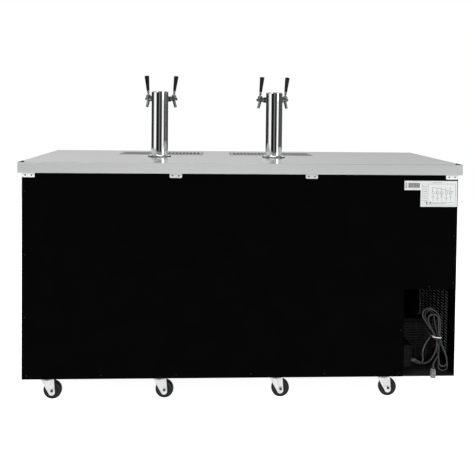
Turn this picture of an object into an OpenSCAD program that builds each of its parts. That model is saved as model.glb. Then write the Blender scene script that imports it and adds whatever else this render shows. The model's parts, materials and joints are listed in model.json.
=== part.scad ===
// Direct-draw beer dispenser: an insulated three-door cabinet on eight casters, with a
// stainless worktop, two draught towers of two taps each, and a machine bay at one end.
// The origin is on the floor under the middle of the worktop. +Z is up and the doors face -Y.
// The machine bay is at the -X end and is open at the back.

/* [Worktop] */
// Width of the worktop
top_w = 1839; // [1830:1:1850]
// Depth of the worktop, front to back
top_d = 703; // [700:1:720]
// Height of the worktop above the floor
top_z = 1000; // [990:1:1010]
// Height of the worktop's turned-down edge
skirt_h = 44; // [40:1:46]
// Thickness of the worktop sheet
top_t = 2; // [1.5:0.5:3]

/* [Cabinet] */
// Width of the cabinet body
body_w = 1810; // [1806:1:1812]
// Gap from the worktop's back edge to the cabinet's back
rear_gap = 12; // [10:1:14]
// Width of the machine bay
bay_w = 221; // [218:1:224]
// Height of the machine bay's opening at the back
bay_open_h = 371; // [340:1:400]
// Thickness of the insulated walls
wall_t = 50; // [45:1:52]
// Thickness of the sheet-metal skins
skin = 1.5; // [1:0.5:2]

/* [Doors] */
// Number of doors
door_n = 3; // [3:1:3]
// Thickness of a door, without its gasket
door_t = 50; // [46:1:50]
// Gap between two doors
door_gap = 4; // [4:1:6]
// Diameter of a hinge pin
hinge_pin_d = 8; // [7:0.5:9]
// Diameter of a lock barrel
lock_d = 19; // [17:1:21]

/* [Casters] */
// Overall height of a caster
caster_h = 101; // [100:1:103]
// Diameter of a wheel
wheel_d = 76.2; // [74:0.1:77]
// Width of a wheel's tread
wheel_w = 25; // [22:1:28]
// Distance from the swivel axis to the axle
trail = 20; // [16:1:22]
// Diameter of the axle bolt
axle_d = 8; // [7:0.5:9]

/* [Towers] */
// Diameter of a tower column
tower_d = 76.2; // [70:0.1:80]
// Height of a tower's column above the worktop
tower_h = 298; // [280:1:320]
// Angle of each tap from straight ahead
tap_angle = 38; // [32:1:42]
// Height of the taps above the worktop
tap_h = 266; // [255:1:270]
// Length of a tap handle
handle_l = 76; // [60:1:90]

/* [Drip trays] */
// Width of a drip tray's rim
tray_w = 400; // [380:1:410]
// Depth of a drip tray's rim, front to back
tray_d = 150; // [130:1:160]
// Depth of a drip tray's well
tray_well = 20; // [15:1:24]

/* [Mains lead] */
// Diameter of the mains lead
cord_d = 7.5; // [7:0.5:8]

/* [Hidden] */
$fn = 48;

// Clearances
run_gap = 0.05;      // radial clearance of a pin or shaft in its bore
air = 0.3;           // gap between faces of parts that move past each other
seat_gap = 0.2;      // radial gap of a fixed pipe or shank in its hole

// Cabinet: limits of the body along each axis
x0 = -body_w / 2;
x1 = body_w / 2;
cold_x0 = x0 + bay_w;                       // bay side of the insulated box
rear_y = top_d / 2 - rear_gap;
door_y = -top_d / 2 + 6;                    // outer face of the doors
gasket_t = 8.2;
frame_y = door_y + door_t + gasket_t + air; // front face of the front frame
frame_t = 12;
foam_y0 = frame_y + frame_t;
foam_y1 = rear_y - skin;
body_z = caster_h;
pan_t = 2;
box_z0 = body_z + pan_t;                    // top of the base pan
box_z1 = top_z - top_t;                     // underside of the worktop sheet
bay_open_z = body_z + bay_open_h;

// Cold compartment
cav_x0 = cold_x0 + wall_t;
cav_x1 = x1 - wall_t - skin;
cav_y1 = foam_y1 - wall_t;
cav_z0 = box_z0 + wall_t;
cav_z1 = box_z1 - wall_t;
liner_t = 1.5;

// Doors: each has the same pitch across the cold box
pitch = (x1 - cold_x0) / door_n;
door_w = pitch - door_gap;
door_z0 = 125;
door_z1 = 950;
door_h = door_z1 - door_z0;
open_w = 440;                               // opening in the front frame
open_z0 = 165;
open_z1 = 915;
skin_return = 40;                           // depth of a door skin's folded edges
hinge_x = 12;                               // hinge pin from the door's edge
hinge_y = 6;                                // hinge pin behind the door's face
hinge_leaf_t = 3;
hinge_pin_l = 14;                           // length of pin inside the door
gasket_in = 14;                             // gasket from the door's edge
gasket_w = 16;
lock_x = 60;                                // lock from the door's free edge
lock_z = 905;
lock_l = 30;
lock_proud = 4;
grip_x = 30;                                // finger pull from the door's free edge
grip_w = 46;
grip_h = 130;
grip_deep = 24;
grip_z = 640;

// Casters: swivel axes, nearest the +X end first
caster_x = [810, 342, -150, -612];
caster_y = [286, -236];
plate_size = [92, 66, 4];
race_r = 25;
race_h = 8;
king_d = 12;
fork_top_z = 88.5;
fork_top_t = 5;
fork_r = 28;
leg_t = 3;
leg_gap = 2;
leg_end_r = 13;
leg_end_z = 30;
axle_z = wheel_d / 2;

// Towers
tower_x = [371, -159];
tower_y = 6.5;
tower_wall = 1.5;
flange_d = 108;
flange_t = 5;
throat_d = 64;                              // hole for the beer lines under a tower
cap_t = 2.2;
shank_r = 11;
tap_z = top_z + tap_h;
// Distances from the tower's axis along a tap
shank_start = 33;
nut_start = 52;
nut_end = 68;
body_end = 104;
nose_end = 118;
lever_at = 97;
pivot_z = tap_z + 16;
ball_r = 7.6;
// Resting tilt of each handle, forwards from upright
handle_tilt = [10, 10, -8, 12];
// Tower and side of each tap
taps = [[0, 1], [0, -1], [1, 1], [1, -1]];

// Drip trays
tray_y = -176;                              // middle of the trays
tray_rim = 4;
tray_t = 1;
grate_t = 1.2;

// Machine bay: the coil stands at the back, behind it the fan, then the compressor
comp_x = -792;
comp_y = -95;
comp_r = 74;
coil_size = [150, 44, 196];
coil_x = -778;                              // middle of the coil
coil_y = 192;
coil_z0 = 112;
fan_y = 128;                                // middle of the condenser fan
fan_z = coil_z0 + coil_size.z / 2;
fan_r = 66;
shroud_y = 152;                             // front plate of the fan shroud
ebox = [[-722, 240, 140], [-688, 334, 232]]; // electrical box, low and high corners
gland_p = [-722, 314, 163];                 // strain relief, pointing to the end panel
gland_l = 22;
loom_pts = [
    [-722.5, 262, 160], [-734, 265, 150], [-752, 272, 138], [-778, 284, 136], [-787, 288, 152],
    [-784, 290, 176], [-786, 290, 196], [-793, 289, 213], [-803, 286, 229], [-817, 280, 245],
    [-828, 250, 250], [-828, 214.6, 250]
];

// Evaporator, hung from the cold compartment's ceiling between the towers
evap_x = 106;
evap_w = 380;
evap_y0 = 120;
evap_z0 = 850;
evap_fan_x = 176;
evap_fan_z = 896;
evap_fan_r = 38;

// Mains lead: hand-set points of its two free stretches, from the gland to the hank
// and from the hank to the plug
lead_pts = [
    [-744, 314, 163], [-752, 315, 160], [-762, 318, 154], [-774, 321, 150.5], [-787, 324, 153],
    [-799, 327, 161], [-809, 330, 173], [-818, 333, 190], [-824.5, 335, 208], [-828, 335, 226],
    [-829, 334, 243], [-829, 329, 258]
];
tail_pts = [
    [-841, 329, 224], [-840, 331, 213], [-838, 334, 202], [-833, 338.5, 191], [-826, 342.5, 182],
    [-818, 347, 173], [-811, 350.5, 163], [-809, 351, 153]
];
hank_y = [309, 331];                        // the hank's faces
// Middles and radii of the hank's round ends, in X and Z, and its two sides at the tie
hank_ends = [[[-785, 366], 21.5], [[-829, 357], 21.5], [[-862, 126.5], 22.5]];
hank_tie = [[-812, 264], [-847, 264]];
plug_size = [22, 19, 34];
plug_relief = 18;

// A block between two corners
module block(low, high) {
    translate(low)
        cube(high - low);
}

// A plate in the XZ plane, from y0 to y1
module plate_y(y0, y1) {
    translate([0, y1, 0])
        rotate([90, 0, 0])
            linear_extrude(y1 - y0)
                children();
}

// A round rod between two points
module rod(a, b, r) {
    v = b - a;
    translate(a)
        rotate([0, acos(v.z / norm(v)), atan2(v.y, v.x)])
            cylinder(h = norm(v), r = r);
}

// A pipe through a list of points, with round elbows
module pipe(points, r) {
    for (i = [0:len(points) - 2])
        rod(points[i], points[i + 1], r);
    for (i = [1:len(points) - 2])
        translate(points[i])
            sphere(r = r);
}

// Insulated cabinet

// Back skin with the bay's opening cut from its lower corner
module rear_panel() {
    color("#141414")
        difference() {
            block([x0, foam_y1, body_z], [x1, rear_y, box_z1]);
            block([x0 - 1, foam_y1 - 1, body_z - 1], [cold_x0, rear_y + 1, bay_open_z]);
        }
}

// Side skins of the insulated box: the outer end and the wall of the machine bay
module box_side_skins() {
    color("#181818") {
        block([x1 - skin, foam_y0, box_z0], [x1, foam_y1, box_z1]);
        block([cold_x0, foam_y0, box_z0], [cold_x0 + skin, foam_y1, box_z1]);
    }
}

// End panel of the machine bay, with columns of vent slots
module side_panel_vented() {
    slot_l = 35;
    slot_h = 6;
    slot_y = 49;
    slot_z = 13;
    rows = 21;
    cols = 8;
    first_y = foam_y1 - 84;
    first_z = 168;
    color("#181818")
        difference() {
            block([x0, frame_y, box_z0], [x0 + skin, foam_y1, box_z1]);
            for (c = [0:cols - 1], r = [0:rows - 1])
                translate([x0 - 1, first_y - slot_y * c - slot_l, first_z + slot_z * r])
                    cube([skin + 2, slot_l, slot_h]);
        }
}

// Floor of the cabinet, which the casters bolt to
module base_pan() {
    color("#8f9295")
        block([x0, frame_y, body_z], [x1, foam_y1, box_z0]);
}

// The well of a drip tray, as a hole grown by g on every side
module tray_hole(t, g, z0, z1) {
    half = [tray_w / 2 - tray_rim - 0.5, tray_d / 2 - tray_rim - 0.5];
    block([tower_x[t] - half.x - g, tray_y - half.y - g, z0],
          [tower_x[t] + half.x + g, tray_y + half.y + g, z1]);
}

// Holes under the towers for the beer lines
module throats(z0, z1) {
    for (x = tower_x)
        translate([x, tower_y, z0])
            cylinder(h = z1 - z0, d = throat_d);
}

// Foam slabs round the cold compartment, open at the front, and the lid's bars round the tray pockets
module foam_insulation() {
    low_x = cold_x0 + skin;
    high_x = x1 - skin;
    wall_z = cav_z0 + seat_gap;
    wall_y = cav_y1 - seat_gap;
    lid_z = cav_z1 + seat_gap;
    bar_z = top_z - tray_well - 3;
    pocket_x = tray_w / 2 - tray_rim + 0.5;
    pocket_y = tray_d / 2 - tray_rim + 0.5;
    // Lowest and highest X of each block beside a tray pocket
    blocks = [[low_x, tower_x[1] - pocket_x], [tower_x[1] + pocket_x, tower_x[0] - pocket_x],
              [tower_x[0] + pocket_x, high_x]];
    color("#e0d6a8") {
        block([low_x, foam_y0, box_z0], [high_x, foam_y1, cav_z0]);
        block([low_x, cav_y1, wall_z], [high_x, foam_y1, cav_z1]);
        block([low_x, foam_y0, wall_z], [cav_x0, wall_y, cav_z1]);
        block([cav_x1, foam_y0, wall_z], [high_x, wall_y, cav_z1]);
        difference() {
            block([low_x, foam_y0, lid_z], [high_x, foam_y1, bar_z - seat_gap]);
            throats(lid_z - 1, bar_z + 1);
        }
        block([low_x, foam_y0, bar_z], [high_x, tray_y - pocket_y, box_z1]);
        for (limits = blocks)
            block([limits[0], tray_y - pocket_y + seat_gap, bar_z],
                  [limits[1], tray_y + pocket_y - seat_gap, box_z1]);
        difference() {
            block([low_x, tray_y + pocket_y, bar_z], [high_x, foam_y1, box_z1]);
            throats(bar_z - 1, box_z1 + 1);
        }
    }
}

// Sheet lining of the cold compartment
module inner_liner() {
    color("#c9ccce")
        difference() {
            block([cav_x0, foam_y0, cav_z0], [cav_x1, cav_y1, cav_z1]);
            block([cav_x0 + liner_t, foam_y0 - 1, cav_z0 + liner_t],
                  [cav_x1 - liner_t, cav_y1 - liner_t, cav_z1 - liner_t]);
            throats(cav_z1 - 10, cav_z1 + 1);
        }
}

// Left edge of door i, counted from the machine bay
function door_x(i) = cold_x0 + pitch * (i - 1) + door_gap / 2;

// Door frame with one opening for each door
module front_frame() {
    color("#26282a")
        difference() {
            block([cold_x0, frame_y, box_z0], [x1, foam_y0, box_z1]);
            for (i = [1:door_n])
                translate([door_x(i) + (door_w - open_w) / 2, frame_y - 1, open_z0])
                    cube([open_w, frame_t + 2, open_z1 - open_z0]);
        }
}

// Worktop with its turned-down edge, tray cut-outs and throat holes
module countertop() {
    w = top_w / 2;
    d = top_d / 2;
    color("#c4c7c8")
        difference() {
            block([-w, -d, top_z - skirt_h], [w, d, top_z]);
            block([top_t - w, top_t - d, top_z - skirt_h - 1], [w - top_t, d - top_t, box_z1]);
            throats(box_z1 - 1, top_z + 1);
            for (t = [0, 1])
                tray_hole(t, 0.5, box_z1 - 1, top_z + 1);
        }
}

// Four screwed clips that hold the worktop's back edge to the cabinet
module top_brackets() {
    clip_w = 51;
    clip_t = 2;
    corner_r = 7;
    low = top_z - skirt_h - 18.5;
    high = top_z - 12;
    screw_r = 4;
    for (x = [878, 282, -282, -878])
        translate([x, 0, 0]) {
            color("#dadcdc")
                plate_y(rear_y, rear_y + clip_t) {
                    translate([-clip_w / 2, low + corner_r])
                        square([clip_w, high - low - corner_r]);
                    translate([corner_r - clip_w / 2, low])
                        square([clip_w - 2 * corner_r, corner_r + 1]);
                    for (s = [-1, 1])
                        translate([s * (clip_w / 2 - corner_r), low + corner_r])
                            circle(r = corner_r);
                }
            color("#f0f0f0")
                for (s = [-1, 1])
                    translate([s * 13, rear_y + clip_t + 2.2, low + 9.5])
                        rotate([90, 0, 0])
                            cylinder(h = 2.1, r1 = screw_r - 1, r2 = screw_r);
        }
}

// Doors

// Hinge leaves above and below each door, each with its pin
module door_hinges() {
    leaf_w = 34;
    color("#9a9da0")
        for (i = [1:door_n], top = [0, 1]) {
            z = top == 1 ? door_z1 + 0.5 : door_z0 - 0.5 - hinge_leaf_t;
            pin_z = top == 1 ? door_z1 - hinge_pin_l : z;
            translate([door_x(i), 0, 0]) {
                block([0, door_y, z], [leaf_w, frame_y, z + hinge_leaf_t]);
                translate([hinge_x, door_y + hinge_y + hinge_pin_d / 2, pin_z])
                    cylinder(h = hinge_pin_l + hinge_leaf_t + 0.5, d = hinge_pin_d);
            }
        }
}

// Hinge pin holes of door i, wider by g on the radius
module pin_holes(i, g, depth) {
    for (z = [door_z0 - 1, door_z1 - depth])
        translate([door_x(i) + hinge_x, door_y + hinge_y + hinge_pin_d / 2, z])
            cylinder(h = depth + 1, r = hinge_pin_d / 2 + g);
}

// Cross hole for the lock of door i
module lock_hole(i, r) {
    translate([door_x(i) + door_w - lock_x, door_y + door_t, lock_z])
        rotate([90, 0, 0])
            cylinder(h = door_t + 1, r = r);
}

// Space of door i's finger pull, grown by g inwards
module grip_space(i, g) {
    x = door_x(i) + door_w - grip_x;
    block([x - grip_w - g, door_y - 1, grip_z - g],
          [x + g, door_y + grip_deep + g, grip_z + grip_h + g]);
}

// Folded steel skin of door i, with its pressed finger pull
module door_skin(i) {
    x = door_x(i);
    color("#111213")
        difference() {
            union() {
                difference() {
                    block([x, door_y, door_z0], [x + door_w, door_y + skin_return, door_z1]);
                    block([x + skin, door_y + skin, door_z0 + skin],
                          [x + door_w - skin, door_y + skin_return + 1, door_z1 - skin]);
                }
                intersection() {
                    grip_space(i, skin);
                    block([x, door_y, door_z0], [x + door_w, door_y + door_t, door_z1]);
                }
            }
            grip_space(i, 0);
            pin_holes(i, run_gap, hinge_pin_l + 0.5);
            lock_hole(i, lock_d / 2 + run_gap);
        }
}

// Plastic back and foam core of door i
module door_liner(i) {
    x = door_x(i);
    color("#d8d8d4")
        difference() {
            block([x + skin, door_y + skin, door_z0 + skin],
                  [x + door_w - skin, door_y + door_t, door_z1 - skin]);
            grip_space(i, skin + seat_gap);
            pin_holes(i, 2, hinge_pin_l + 3);
            lock_hole(i, lock_d / 2 + 2);
        }
}

// Magnetic seal around the back of door i
module door_gasket(i) {
    x = door_x(i) + gasket_in;
    w = door_w - 2 * gasket_in;
    y = door_y + door_t;
    z0 = door_z0 + gasket_in;
    z1 = door_z1 - gasket_in;
    color("#3a3b3c")
        difference() {
            block([x, y, z0], [x + w, y + gasket_t, z1]);
            block([x + gasket_w, y - 1, z0 + gasket_w],
                  [x + w - gasket_w, y + gasket_t + 1, z1 - gasket_w]);
        }
}

// Lock barrel of door i, with its key slot and cam
module door_lock(i) {
    y = door_y - lock_proud;
    color("#b9bcbe")
        translate([door_x(i) + door_w - lock_x, y, lock_z])
            rotate([-90, 0, 0])
                difference() {
                    union() {
                        cylinder(h = lock_l, d = lock_d);
                        cylinder(h = lock_proud - air, d = lock_d + 5);
                    }
                    translate([-1, -4, -1])
                        cube([2, 8, 3]);
                }
}

// Louvred cover of the machine bay's front
module front_grille() {
    x = x0 + 1;
    w = bay_w - 3;
    rows = 16;
    slot_pitch = 22;
    color("#131415")
        difference() {
            block([x, door_y, box_z0], [x + w, frame_y - air, door_z1]);
            block([x + skin, door_y + skin, box_z0 - 1], [x + w - skin, frame_y, door_z1 - skin]);
            for (r = [0:rows - 1])
                translate([x + 24, door_y - 1, 170 + slot_pitch * r])
                    cube([w - 48, skin + 2, 8]);
        }
}

// Casters

// Swivel axis of caster k: four along the back, then four along the front
function caster_pos(k) = [caster_x[(k - 1) % 4], caster_y[k > 4 ? 1 : 0]];

// Bolted plates with raceways and kingpins
module caster_plates() {
    bolt_x = 35;
    bolt_y = 22;
    color("#b4b7b9")
        for (k = [1:8])
            translate([caster_pos(k).x, caster_pos(k).y, body_z]) {
                translate([-plate_size.x / 2, -plate_size.y / 2, -plate_size.z])
                    cube(plate_size);
                translate([0, 0, -plate_size.z - race_h])
                    cylinder(h = race_h, r = race_r);
                translate([0, 0, -20.5])
                    cylinder(h = 20, d = king_d);
                translate([0, 0, -20.5])
                    cylinder(h = 2.5, d = king_d + 8);
                for (sx = [-1, 1], sy = [-1, 1])
                    translate([sx * bolt_x, sy * bolt_y, -plate_size.z - 5])
                        cylinder(h = 5.5, d = 12, $fn = 6);
            }
}

// Where a line from point p touches a circle at c, on the side given by s
function touch(p, c, r, s) =
    let (v = p - c, d = norm(v), a = atan2(v.y, v.x) + s * acos(r / d))
    c + r * [cos(a), sin(a)];

// Side outline of a fork leg, in X and Z from the swivel axis
module leg_outline() {
    c = [-trail + 1, leg_end_z];
    left = [-fork_r, fork_top_z - 1];
    right = [fork_r, fork_top_z - 1];
    polygon([left, right, touch(right, c, leg_end_r, -1), touch(left, c, leg_end_r, 1)]);
    translate(c)
        circle(r = leg_end_r);
}

// Fork of caster k with its axle bolt
module caster_fork(k) {
    inner = wheel_w / 2 + leg_gap;
    outer = inner + leg_t;
    bolt_head = 3.5;
    color("#c8cbcc")
        translate([caster_pos(k).x, caster_pos(k).y, 0]) {
            difference() {
                union() {
                    translate([0, 0, fork_top_z - fork_top_t])
                        cylinder(h = fork_top_t, r = fork_r);
                    for (s = [-1, 1])
                        plate_y(s > 0 ? inner : -outer, s > 0 ? outer : -inner)
                            leg_outline();
                }
                translate([0, 0, fork_top_z - fork_top_t - 1])
                    cylinder(h = fork_top_t + 2, r = king_d / 2 + run_gap);
            }
            translate([-trail, outer, axle_z])
                rotate([90, 0, 0])
                    cylinder(h = 2 * outer, d = axle_d);
            translate([-trail, outer + bolt_head, axle_z])
                rotate([90, 0, 0])
                    cylinder(h = bolt_head, d = 14);
            translate([-trail, -outer, axle_z])
                rotate([90, 0, 0])
                    cylinder(h = bolt_head, d = 14, $fn = 6);
        }
}

// Wheel of caster k: crowned tread, recessed web and hub
module caster_wheel(k) {
    r = wheel_d / 2;
    h = wheel_w / 2;
    tread_h = 9;
    web_h = 5;
    hub_r = 13;
    bore_r = axle_d / 2 + run_gap;
    edge = 4;
    color("#1d1e1f")
        translate([caster_pos(k).x - trail, caster_pos(k).y, axle_z])
            rotate([90, 0, 0])
                rotate_extrude($fn = 96)
                    polygon([
                        [bore_r, -h], [hub_r, -h], [hub_r, -h + web_h], [r - tread_h, -h + web_h],
                        [r - tread_h + 2, -h], [r - edge, -h], [r, -h + edge], [r, h - edge],
                        [r - edge, h], [r - tread_h + 2, h], [r - tread_h, h - web_h],
                        [hub_r, h - web_h], [hub_r, h], [bore_r, h]
                    ]);
}

// Towers and taps

// Turn and place the children at a tap: +X then runs outwards along the tap
module at_tap(n) {
    t = taps[n - 1];
    translate([tower_x[t[0]], tower_y, 0])
        rotate([0, 0, -90 + t[1] * tap_angle])
            children();
}

// Tower columns, each welded to its flange, with bores for two tap shanks
module tower_columns() {
    color("#d5d8da")
        difference() {
            union()
                for (x = tower_x)
                    translate([x, tower_y, top_z]) {
                        cylinder(h = tower_h, d = tower_d, $fn = 96);
                        cylinder(h = flange_t, d = flange_d, $fn = 96);
                    }
            for (x = tower_x)
                translate([x, tower_y, top_z - 1])
                    cylinder(h = tower_h + 2, d = tower_d - 2 * tower_wall, $fn = 96);
            for (n = [1:4])
                at_tap(n)
                    rod([shank_start - 10, 0, tap_z], [shank_start + 12, 0, tap_z], shank_r + seat_gap);
        }
}

// Lids of the towers, each with a plug that fits the column
module tower_caps() {
    plug_h = 8;
    color("#dcdfe0")
        for (x = tower_x)
            translate([x, tower_y, top_z + tower_h]) {
                rotate_extrude($fn = 96)
                    polygon([
                        [0, 0], [tower_d / 2, 0], [tower_d / 2, cap_t / 2],
                        [tower_d / 2 - 2, cap_t], [tower_d / 4, cap_t + 1.2], [0, cap_t + 1.8]
                    ]);
                translate([0, 0, -plug_h])
                    cylinder(h = plug_h + 0.5, d = tower_d - 2 * tower_wall - 2 * seat_gap, $fn = 96);
            }
}

// Tap bodies with their shanks and coupling nuts
module faucets() {
    spout_top = [lever_at - 4, 0, tap_z];
    spout_low = [lever_at + 13, 0, tap_z - 38];
    cup_r = 11;
    color("#cfd2d4")
        for (n = [1:4])
            at_tap(n) {
                rod([shank_start, 0, tap_z], [nut_end, 0, tap_z], shank_r);
                rod([tower_d / 2 + 1, 0, tap_z], [tower_d / 2 + 4, 0, tap_z], shank_r + 4);
                rod([nut_start, 0, tap_z], [nut_end, 0, tap_z], shank_r + 3.5);
                difference() {
                    union() {
                        rod([nut_end - 1, 0, tap_z], [body_end, 0, tap_z], 9.5);
                        rod([body_end - 1, 0, tap_z], [nose_end, 0, tap_z], 6);
                        rod(spout_top, spout_low, 7);
                        translate([lever_at, 0, tap_z])
                            cylinder(h = pivot_z - tap_z + 2, r = cup_r);
                    }
                    rod(spout_top + [6, 0, -14], spout_low + [1, 0, -3], 5);
                    translate([lever_at, 0, pivot_z - ball_r - 1])
                        cylinder(h = ball_r + 4, r = ball_r + 1);
                }
            }
}

// Lever ball, shaft and tapered handle of tap n
module tap_lever(n) {
    shaft_l = 22;
    handle_at = 18;
    at_tap(n)
        translate([lever_at, 0, pivot_z])
            rotate([0, handle_tilt[n - 1], 0]) {
                color("#d5d8da") {
                    sphere(r = ball_r);
                    rod([0, -ball_r - 0.6, 0], [0, ball_r + 0.6, 0], 2);
                    cylinder(h = shaft_l, r = 3.5);
                    translate([0, 0, 10])
                        cylinder(h = 4, r = 6.5);
                }
                color("#101010")
                    translate([0, 0, handle_at])
                        cylinder(h = handle_l, r1 = 6.6, r2 = 11);
            }
}

// Drip trays

module drip_trays() {
    for (t = [0, 1])
        color("#b9bcbe")
            difference() {
                union() {
                    block([tower_x[t] - tray_w / 2, tray_y - tray_d / 2, top_z],
                          [tower_x[t] + tray_w / 2, tray_y + tray_d / 2, top_z + tray_t]);
                    tray_hole(t, 0, top_z - tray_well, top_z + tray_t);
                }
                tray_hole(t, -tray_t, top_z - tray_well + tray_t, top_z + tray_t + 1);
            }
}

// Lift-out grate of tray t with two rows of long slots, standing on its folded edges
module drip_grate(t) {
    g = -tray_t - 1;
    z1 = top_z + tray_t;
    cols = 21;
    rows = 2;
    slot = [9, 52];
    px = (tray_w - 30) / cols;
    py = (tray_d - 26) / rows;
    color("#aeb1b3")
        difference() {
            tray_hole(t - 1, g, top_z - tray_well + tray_t, z1);
            tray_hole(t - 1, g - grate_t, top_z - tray_well, z1 - grate_t);
            for (c = [0:cols - 1], r = [0:rows - 1])
                translate([tower_x[t - 1] + px * (c - (cols - 1) / 2) - slot.x / 2,
                           tray_y + py * (r - (rows - 1) / 2) - slot.y / 2, z1 - 5])
                    cube([slot.x, slot.y, 10]);
        }
}

// Machine bay

// Hermetic compressor on a base plate with rubber feet
module compressor() {
    foot_h = 14;
    base_z = box_z0 + foot_h;
    seam_z = base_z + 92;
    dome_z = base_z + 168;
    feet = [-70, 70];
    translate([comp_x, comp_y, 0]) {
        color("#1a1b1c") {
            rotate_extrude($fn = 96)
                polygon([
                    [0, base_z], [comp_r - 24, base_z], [comp_r - 6, base_z + 12], [comp_r, base_z + 30],
                    [comp_r, seam_z - 4], [comp_r + 4, seam_z - 4], [comp_r + 4, seam_z + 4],
                    [comp_r, seam_z + 4], [comp_r - 2, dome_z - 34], [comp_r - 16, dome_z - 12],
                    [comp_r - 42, dome_z], [0, dome_z + 2]
                ]);
            block([-82, -84, base_z - 3], [82, 84, base_z + 0.5]);
        }
        color("#2b2b2b")
            for (x = feet, y = feet)
                translate([x, y, box_z0])
                    cylinder(h = foot_h, r = 10);
        color("#303234")
            block([comp_r - 8, -24, base_z + 34], [comp_r + 18, 24, base_z + 84]);
    }
}

// Tubes and fins of the condenser coil
module coil(fins, fin_t, tubes, tube_r) {
    low = [coil_x - coil_size.x / 2, coil_y - coil_size.y / 2, coil_z0];
    tube_pitch = coil_size.z / tubes;
    for (k = [0:fins - 1])
        translate(low + [k * (coil_size.x - fin_t) / (fins - 1), 0, 0])
            cube([fin_t, coil_size.y, coil_size.z]);
    for (k = [0:tubes - 1], side = [0.25, 0.75])
        translate(low + [-5, coil_size.y * side, tube_pitch * (k + 0.5)])
            rotate([0, 90, 0])
                cylinder(h = coil_size.x + 10, r = tube_r);
}

// Finned condenser coil with its legs, fan shroud and motor
module condenser() {
    half = coil_size.x / 2;
    back = coil_y - coil_size.y / 2;
    top = coil_z0 + coil_size.z;
    bar_y = fan_y - 22;
    bar_h = 8;
    motor_l = 40;
    color("#77797b")
        coil(26, 1, 8, 4);
    color("#202122") {
        for (x = [-half, half - 12]) {
            block([coil_x + x, shroud_y, box_z0], [coil_x + x + 12, shroud_y + 12, coil_z0 + 0.5]);
            block([coil_x + x, shroud_y, box_z0],
                  [coil_x + x + 12, coil_y + coil_size.y / 2, coil_z0 - seat_gap]);
        }
        difference() {
            block([coil_x - half, shroud_y, coil_z0], [coil_x + half, back - seat_gap, top]);
            block([coil_x - half + skin, shroud_y + skin, coil_z0 + skin],
                  [coil_x + half - skin, back + 1, top - skin]);
            translate([coil_x, shroud_y + 10, fan_z])
                rotate([90, 0, 0])
                    cylinder(h = 20, r = fan_r + 4);
        }
        for (x = [-half, half - 3])
            block([coil_x + x, bar_y - 2, fan_z - bar_h],
                  [coil_x + x + 3, shroud_y + skin / 2, fan_z + bar_h]);
        block([coil_x - half, bar_y - 2, fan_z - bar_h], [coil_x + half, bar_y, fan_z + bar_h]);
        translate([coil_x, bar_y - 1, fan_z])
            rotate([90, 0, 0])
                cylinder(h = motor_l, r = 24);
        translate([coil_x, fan_y + 12, fan_z])
            rotate([90, 0, 0])
                cylinder(h = 36, r = 4);
    }
}

// Bladed fan wheel turning on Y, at the origin
module fan_wheel(r, hub_r, hub_h, bore_r, blades) {
    difference() {
        union() {
            rotate([90, 0, 0])
                cylinder(h = hub_h, r = hub_r, center = true);
            for (k = [0:blades - 1])
                rotate([0, k * 360 / blades, 0])
                    translate([hub_r - 2, 0, 0])
                        rotate([28, 0, 0])
                            translate([0, -0.75, -r / 4])
                                cube([r - hub_r - 2, 1.5, r / 2]);
        }
        rotate([90, 0, 0])
            cylinder(h = hub_h + 2, r = bore_r, center = true);
    }
}

module condenser_fan() {
    color("#3c3e40")
        translate([coil_x, fan_y, fan_z])
            fan_wheel(fan_r, 18, 16, 4 + run_gap, 5);
}

// Copper pipes from the compressor to the coil and from the cold compartment
module refrigerant_lines() {
    side_x = x0 + 18;
    hot_z = 196;
    cold_z = 420;
    cold_y = comp_y + 40;
    color("#9c6a43") {
        pipe([
            [comp_x, comp_y + comp_r + air, hot_z], [comp_x, comp_y + comp_r + 24, hot_z],
            [side_x, comp_y + comp_r + 24, hot_z], [side_x, coil_y - coil_size.y / 4, hot_z],
            [coil_x - coil_size.x / 2 - 5, coil_y - coil_size.y / 4, hot_z]
        ], 3);
        pipe([
            [comp_x, comp_y, box_z0 + 184.5], [comp_x, comp_y, cold_z], [comp_x, cold_y, cold_z],
            [cold_x0 - air, cold_y, cold_z]
        ], 5);
    }
}

// Electrical box with the strain relief of the mains lead and the fan motor's loom
module electrical_box() {
    color("#2a2c2e")
        block(ebox[0], ebox[1]);
    color("#8a8c8e")
        translate(gland_p)
            rotate([0, -90, 0]) {
                cylinder(h = 5, r = 9.5);
                cylinder(h = gland_l, r1 = 7.5, r2 = 5);
            }
    color("#161616")
        tube(loom_pts, 3.2, 8);
}

// Evaporator housing with its finned coil
module evaporator() {
    x = evap_x - evap_w / 2;
    z1 = cav_z1 - liner_t;
    y1 = cav_y1 - liner_t;
    fins = 24;
    fan_hole = evap_fan_r + 4;
    color("#b6b9bb") {
        difference() {
            block([x, evap_y0, evap_z0], [x + evap_w, y1, z1]);
            block([x + skin, evap_y0 + skin, evap_z0 - 1], [x + evap_w - skin, y1 - skin, z1 - skin]);
            translate([evap_fan_x, evap_y0 + 10, evap_fan_z])
                rotate([90, 0, 0])
                    cylinder(h = 20, r = fan_hole);
        }
        for (k = [0:fins - 1])
            translate([x + 30 + k * 9, evap_y0 + 96, evap_z0 + 12])
                cube([1, 50, 68]);
        for (z = [evap_z0 + 28, evap_z0 + 46, evap_z0 + 64])
            rod([x + skin + 1, evap_y0 + 121, z], [x + 30 + fins * 9 + 6, evap_y0 + 121, z], 5);
        // Motor of the fan on its stay
        translate([evap_fan_x, evap_y0 + 62, evap_fan_z])
            rotate([90, 0, 0])
                cylinder(h = 34, r = 17);
        translate([evap_fan_x, evap_y0 + 30, evap_fan_z])
            rotate([90, 0, 0])
                cylinder(h = 18, r = 3);
        block([evap_fan_x - 8, evap_y0 + 40, evap_fan_z + 10], [evap_fan_x + 8, evap_y0 + 43, z1 - skin / 2]);
    }
}

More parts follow.
